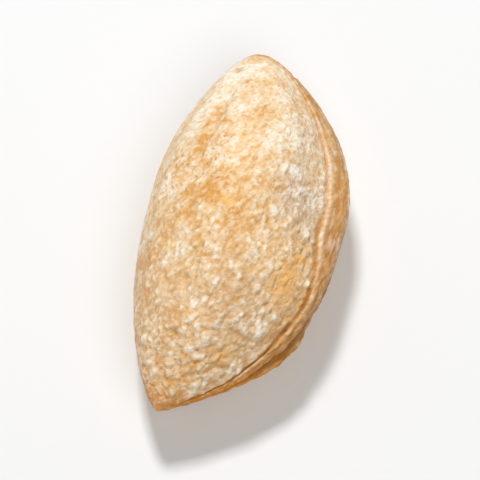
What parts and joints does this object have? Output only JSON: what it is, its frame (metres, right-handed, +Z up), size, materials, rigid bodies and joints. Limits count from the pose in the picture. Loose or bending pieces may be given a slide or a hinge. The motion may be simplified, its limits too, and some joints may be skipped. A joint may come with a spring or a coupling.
{
  "type": "almond in its shell",
  "caption": "Whole closed almond in its shell, lying on one cheek: pointed tip, blunt stem end, keel with a suture along one edge, rounded back, furrowed and wrinkled cheeks.",
  "frame": {"origin": "on the resting plane, under the middle of the nut's bounding box", "axes": "+X along the nut, from the pointed tip to the stem end; -Y towards the keel; +Z up, through both cheeks"},
  "size_m": [0.0366, 0.0184, 0.0135],
  "materials": {
    "shell": "dry matt nutshell, cream with orange-tan mottles, darker tan along the suture, in the creases and at both ends"
  },
  "bodies": {
    "root": {"almond": "shell"}
  },
  "joints": []
}
